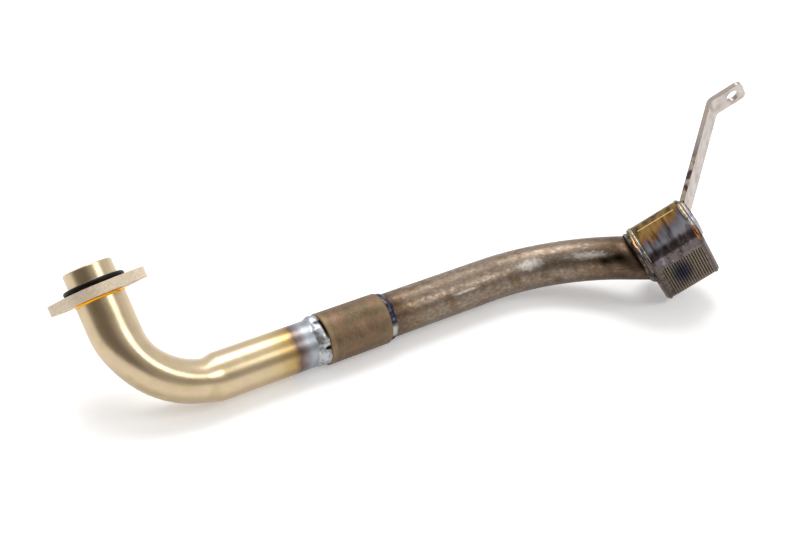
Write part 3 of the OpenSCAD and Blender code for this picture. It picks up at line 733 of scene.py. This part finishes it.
wires = []
weft_count = int(cloth_wide / WEFT_PITCH)
for n in range(weft_count):
    first = (n + 0.5) * cloth_wide / weft_count
    wires.append(wire(first, "long", cloth_long, WEFT_R, WARP_R, WARP_PITCH, math.pi * n))
warp_count = int(cloth_long / WARP_PITCH)
for n in range(warp_count):
    first = (n + 0.5) * cloth_long / warp_count
    wires.append(wire(first, "wide", cloth_wide, WARP_R, 0.0, WEFT_PITCH, 0.0))
wires.append(wire(cloth_wide, "long", cloth_long, HEM_R, 0.0, WARP_PITCH, 0.0))
pieces = [skin("screen_wire", rows, closed=False) for rows in wires]
with bpy.context.temp_override(active_object=pieces[0], selected_editable_objects=pieces):
    bpy.ops.object.join()
cloth = pieces[0]
cloth.name = "inlet_screen_cloth"

# Wire cloth as woven: dull grey-brown, with a blue-black burn in the middle
cloth_wire, tree = surface("steel_wire_cloth_woven")
place = add(tree, "TexCoord").outputs["Object"]
burn_middle = (box_point(BOX_LEN * BURN_ALONG, BOX_DEPTH, BOX_WIDTH * BURN_ACROSS) * MM).tolist()
local = add(tree, "VectorMath", {0: place, 1: burn_middle}, operation="SUBTRACT").outputs["Vector"]
over = [add(tree, "VectorMath", {0: local, 1: axis.tolist()}, operation="DOT_PRODUCT").outputs["Value"]
        for axis in (box_long, BURN_STRETCH * box_wide)]
oval_at = add(tree, "CombineXYZ", {"X": over[0], "Y": over[1]}).outputs["Vector"]
reach = add(tree, "VectorMath", {0: oval_at}, operation="LENGTH").outputs["Value"]
burn = add(tree, "MapRange", {"Value": reach, "From Min": 1.5 * MM, "From Max": 6.5 * MM}).outputs["Result"]
tone = add(tree, "ValToRGB", {"Fac": burn}, stops=[(0.0, "#333146"), (0.5, "#5A5358"), (1.0, "#8E8071")])
shade = add(tree, "BsdfPrincipled", {"Base Color": tone.outputs["Color"], "Metallic": 1.0, "Roughness": 0.38})
add(tree, "OutputMaterial", {"Surface": shade.outputs["BSDF"]})
seat(cloth, cloth_wire, "screen_wire", "inlet_screen")

# Box welds
# A bead runs round the tube's slanted foot, and a thin seam closes the shell on each end plate.
# The seams are bright at their crowns, and the bead is brown with a copper cast.
SEAM_W, SEAM_H = 1.6, 0.35
SEAM_SIDES = 12
SEAM_GAP = 0.02
SEAM_RIPPLES, SEAM_RIPPLE_SHARE = 47, 0.16
SEAM_SWELLS, SEAM_SWELL_SHARE = 5, 0.12
FOOT_PINCH = 0.9
FOOT_WAVES = (1, 2, 3, 5, 8)
SEAM_PATCH, SCALE_PATCH = 6, 2.4
tail_across = np.cross(tail_in_box, Y)
tail_across = tail_across / np.linalg.norm(tail_across)
tail_side = np.cross(tail_across, tail_in_box)
draw = np.random.default_rng(7)
wobble = draw.uniform(0, 2 * math.pi, len(FOOT_WAVES))
rows = []
for i in range(BEAD_STEPS):
    q = 2 * math.pi * i / BEAD_STEPS
    ragged = sum(math.cos(k * q + w) for k, w in zip(FOOT_WAVES, wobble)) / len(FOOT_WAVES)
    wide_leg = FOOT_BEAD_W * (1 - FOOT_PINCH * math.cos(q) ** 2) * (0.9 + 0.15 * ragged)
    high_leg = FOOT_BEAD_W * (0.8 + 0.2 * ragged)
    ring = []
    for j in range(SEAM_SIDES + 1):
        t = math.pi / 2 * (j - 1) / (SEAM_SIDES - 1)
        out, up = (0, 0) if j == 0 else (wide_leg * math.cos(t), high_leg * math.sin(t))
        spoke = (EXT_R + PLATE_GAP + out) * (math.cos(q) * tail_side + math.sin(q) * tail_across)
        spot = spoke - tail_in_box * ((spoke[0] + PLATE_GAP) / tail_in_box[0] + up)
        ring.append(ext_end + box_turn @ spot)
    rows.append(ring)
foot_weld = skin("tube_foot_weld_bead", rows)

seams = []
for name, middle in (("tube_end_seam_bead", PLATE_T), ("bracket_end_seam_bead", BOX_LEN - PLATE_T)):
    rows = []
    for i in range(SEAM_STEPS):
        ripple = SEAM_RIPPLE_SHARE * math.cos(2 * math.pi * SEAM_RIPPLES * i / SEAM_STEPS)
        swell = 1 + ripple + SEAM_SWELL_SHARE * math.cos(2 * math.pi * SEAM_SWELLS * i / SEAM_STEPS)
        ring = []
        for j in range(SEAM_SIDES):
            q = math.pi * j / (SEAM_SIDES - 1)
            depth_width = outline(i / SEAM_STEPS, SEAM_GAP + SEAM_H * swell * math.sin(q))
            ring.append(box_point(middle + SEAM_W / 2 * math.cos(q), *depth_width))
        rows.append(ring)
    seams.append(skin(name, rows))

# Fused seam: a thin bright rim with a straw cast, with painted shade where it faces the screen's side
seam_metal, tree = surface("steel_seam_fused")
place = add(tree, "TexCoord").outputs["Object"]
cloud = add(tree, "TexNoise", {"Vector": place, "Scale": 1 / (SEAM_PATCH * MM), "Detail": 3.0}).outputs["Fac"]
tone = add(tree, "ValToRGB", {"Fac": cloud}, stops=[
    (0.32, "#45413C"), (0.46, "#8A867C"), (0.58, "#959083"), (0.70, "#6C5F4A")]).outputs["Color"]
facing = add(tree, "NewGeometry").outputs["Normal"]
toward_screen = add(tree, "VectorMath", {0: facing, 1: box_face.tolist()},
                    operation="DOT_PRODUCT").outputs["Value"]
# Painted shade: the seam is darker brown where it faces the screen's side
painted_shade_side = add(tree, "MapRange", {"Value": toward_screen, "From Min": 0.3, "From Max": 0.8}).outputs["Result"]
tone = add(tree, "Mix", {"Factor": painted_shade_side, "A": tone, "B": srgb("#534841")}, data_type="RGBA").outputs["Result"]
spot = (box_point(BOX_LEN - 3, BOX_DEPTH - 3, 1.5) * MM).tolist()
reach = add(tree, "VectorMath", {0: place, 1: spot}, operation="DISTANCE").outputs["Value"]
copper = add(tree, "MapRange", {"Value": reach, "From Min": 2.0 * MM, "From Max": 5 * MM,
                                "To Min": 1.0, "To Max": 0.0}).outputs["Result"]
final = add(tree, "Mix", {"Factor": copper, "A": tone, "B": srgb("#A46C43")},
            data_type="RGBA").outputs["Result"]
shade = add(tree, "BsdfPrincipled", {"Base Color": final, "Metallic": 1.0, "Roughness": 0.25})
add(tree, "OutputMaterial", {"Surface": shade.outputs["BSDF"]})
seat(seams[0], seam_metal, "weld_metal", "tube_end_seam_weld")
seat(seams[1], seam_metal, "weld_metal", "bracket_end_seam_weld")

# Weld left with its scale: brown and grey, with specks of straw
scaled_weld, tree = surface("steel_weld_scaled")
place = add(tree, "TexCoord").outputs["Object"]
cloud = add(tree, "TexNoise", {"Vector": place, "Scale": 1 / (SCALE_PATCH * MM),
                               "Detail": 4.0}).outputs["Fac"]
tone = add(tree, "ValToRGB", {"Fac": cloud}, stops=[
    (0.32, "#1F1916"), (0.46, "#453C34"), (0.56, "#584F46"), (0.68, "#706355")]).outputs["Color"]
rough = add(tree, "Bump", {"Height": cloud, "Strength": 0.15, "Distance": 0.3 * MM})
shade = add(tree, "BsdfPrincipled", {"Base Color": tone, "Metallic": 1.0, "Roughness": 0.36,
                                     "Normal": rough.outputs["Normal"]})
add(tree, "OutputMaterial", {"Surface": shade.outputs["BSDF"]})
seat(foot_weld, scaled_weld, "weld_metal", "tube_box_weld_bead")

# Support bracket
# A strip of bare steel, bent twice and drilled once, that stands on the bracket's end plate.
# Two fillet welds hold its foot, and their heat has marked the strip's edge.
ROLLED_PATCH = 5

# Hot-rolled strip, ground bright: pale grey with a pink cast and a soft grain, with painted shade on its
# narrow edges
strip_steel, tree = surface("steel_strip_ground")
place = add(tree, "TexCoord").outputs["Object"]
cloud = add(tree, "TexNoise", {"Vector": place, "Scale": 1 / (ROLLED_PATCH * MM),
                               "Detail": 4.0}).outputs["Fac"]
grey = add(tree, "ValToRGB", {"Fac": cloud}, stops=[
    (0.32, "#A99F98"), (0.50, "#B9B0AA"), (0.68, "#C4BCB7")]).outputs["Color"]
foot_at = (box_point(BOX_LEN + 2, 2, BOX_WIDTH / 2) * MM).tolist()
reach = add(tree, "VectorMath", {0: place, 1: foot_at}, operation="DISTANCE").outputs["Value"]
close = add(tree, "MapRange", {"Value": reach, "From Min": 24 * MM, "From Max": 46 * MM,
                               "To Min": 1.0, "To Max": 0.0}).outputs["Result"]
blot = add(tree, "MapRange", {"Value": cloud, "From Min": 0.38, "From Max": 0.48}).outputs["Result"]
facing = add(tree, "NewGeometry").outputs["Normal"]
sidelong = add(tree, "VectorMath", {0: facing, 1: (-box_wide).tolist()},
               operation="DOT_PRODUCT").outputs["Value"]
edge_only = add(tree, "MapRange", {"Value": sidelong, "From Min": 0.6, "From Max": 0.9}).outputs["Result"]
spots = add(tree, "Math", {0: close, 1: blot}, operation="MULTIPLY").outputs["Value"]
mark = add(tree, "Math", {0: spots, 1: edge_only}, operation="MULTIPLY").outputs["Value"]
scorch = add(tree, "ValToRGB", {"Fac": cloud}, stops=[
    (0.44, "#7A5A34"), (0.52, "#3A2C30"), (0.60, "#4A4668")]).outputs["Color"]
# Painted shade: the narrow edge faces turned along the box's width are darker grey
painted_edge_shade = add(tree, "Mix", {"Factor": edge_only, "A": grey, "B": srgb("#928881")},
              data_type="RGBA").outputs["Result"]
tone = add(tree, "Mix", {"Factor": mark, "A": painted_edge_shade, "B": scorch}, data_type="RGBA").outputs["Result"]
edge = add(tree, "Bevel", {"Radius": 0.35 * MM}, samples=6).outputs["Normal"]
rough = add(tree, "Bump", {"Height": cloud, "Strength": 0.1, "Distance": 0.2 * MM, "Normal": edge})
shade = add(tree, "BsdfPrincipled", {"Base Color": tone, "Metallic": 1.0, "Roughness": 0.38,
                                     "Normal": rough.outputs["Normal"]})
add(tree, "OutputMaterial", {"Surface": shade.outputs["BSDF"]})
dress(["support_bracket"], strip_steel)
dress(["bracket_weld_bead"], bright_weld)

# Studio
# A plain white floor under the part, one soft lamp overhead and one at the front right, in a pale room
# with brown walls on the camera's side, so that the metal has something to mirror.
FLOOR_HALF = 4.0
SHADOW_LIFT = 0.3
FLOOR_CODE = "#FFFFFF"
floor_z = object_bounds()[0][2]


def shown(tree):
    """1 for rays that show the background: straight to the camera, in a mirror or through glass."""
    path = add(tree, "LightPath").outputs
    either = add(tree, "Math", {0: path["Is Camera Ray"], 1: path["Is Glossy Ray"]}, operation="MAXIMUM")
    return add(tree, "Math", {0: either.outputs["Value"], 1: path["Is Transmission Ray"]},
               operation="MAXIMUM").outputs["Value"]


mesh = bpy.data.meshes.new("floor")
square = ((-1, -1), (1, -1), (1, 1), (-1, 1))
mesh.from_pydata([(sx * FLOOR_HALF, sy * FLOOR_HALF, floor_z) for sx, sy in square], [], [(0, 1, 2, 3)])
floor = bpy.data.objects.new("floor", mesh)
bpy.context.scene.collection.objects.link(floor)

# Matt white card: pale, with nothing mirrored in it, its shadows softened where it is seen or mirrored
card, tree = surface("card_white_matt")
matt = add(tree, "BsdfDiffuse", {"Color": srgb(FLOOR_CODE)}).outputs["BSDF"]
lift = add(tree, "Math", {0: shown(tree), 1: SHADOW_LIFT}, operation="MULTIPLY").outputs["Value"]
white = add(tree, "Emission", {"Color": srgb(FLOOR_CODE), "Strength": lift}).outputs["Emission"]
shade = add(tree, "AddShader", {0: matt, 1: white})
add(tree, "OutputMaterial", {"Surface": shade.outputs["Shader"]})
mesh.materials.append(card)

lamps = (("lamp_overhead", (0.18, 0.36, 0.92), 1.15, 30), ("lamp_front_right", (0.50, -0.55, 0.66), 0.65, 24))
for name, way, strength, spread in lamps:
    lamp = bpy.data.lights.new(name, "SUN")
    lamp.energy = strength
    lamp.angle = math.radians(spread)
    holder = bpy.data.objects.new(name, lamp)
    holder.rotation_euler = Vector(way).to_track_quat("Z", "Y").to_euler()
    bpy.context.scene.collection.objects.link(holder)

ROOM = 0.68
# A brown wall is its direction, the cosines at which it begins and is darkest, and its darkest level
BROWN_WALLS = (((-0.75, -0.58, 0.32), 0.5, 0.88, 0.14), ((0.50, -0.74, 0.45), 0.72, 0.96, 0.4))
world = bpy.data.worlds.new("studio")
bpy.context.scene.world = world
world.use_nodes = True
tree = world.node_tree
tree.nodes.clear()
heading = add(tree, "TexCoord").outputs["Generated"]
levels = []
for way, begins, darkest, level in BROWN_WALLS:
    facing = add(tree, "VectorMath", {0: heading, 1: way}, operation="DOT_PRODUCT").outputs["Value"]
    shadow = add(tree, "MapRange", {"Value": facing, "From Min": begins, "From Max": darkest,
                                    "To Min": 1.0, "To Max": level}, interpolation_type="SMOOTHSTEP")
    levels.append(shadow.outputs["Result"])
level = add(tree, "Math", {0: levels[0], 1: levels[1]}, operation="MULTIPLY").outputs["Value"]
walls = add(tree, "ValToRGB", {"Fac": level}, stops=[(0.0, "#54452E"), (1.0, "#FFFFFF")]).outputs["Color"]
direct = add(tree, "LightPath").outputs["Is Camera Ray"]
backdrop = add(tree, "Mix", {"Factor": direct, "A": walls, "B": srgb(FLOOR_CODE)}, data_type="RGBA")
strength = add(tree, "MapRange", {"Value": shown(tree), "To Min": ROOM, "To Max": 1.0}).outputs["Result"]
room = add(tree, "Background", {"Color": backdrop.outputs["Result"], "Strength": strength})
add(tree, "OutputWorld", {"Surface": room.outputs["Background"]})

# The camera stands where the photographer's did, in the part's own frame
CAMERA_AT = (-95.8, -408.3, 268.9)
CAMERA_WAY = (0.4407, 0.7136, -0.5446)
CAMERA_LENS, CAMERA_SENSOR = 49.5, 36.0
view = bpy.data.cameras.new("camera")
view.lens = CAMERA_LENS
view.sensor_width = CAMERA_SENSOR
camera = bpy.data.objects.new("camera", view)
camera.location = Vector(CAMERA_AT) * MM
camera.rotation_euler = Vector(CAMERA_WAY).to_track_quat("-Z", "Y").to_euler()
bpy.context.scene.collection.objects.link(camera)
bpy.context.scene.camera = camera
bpy.context.scene.view_settings.view_transform = "Standard"
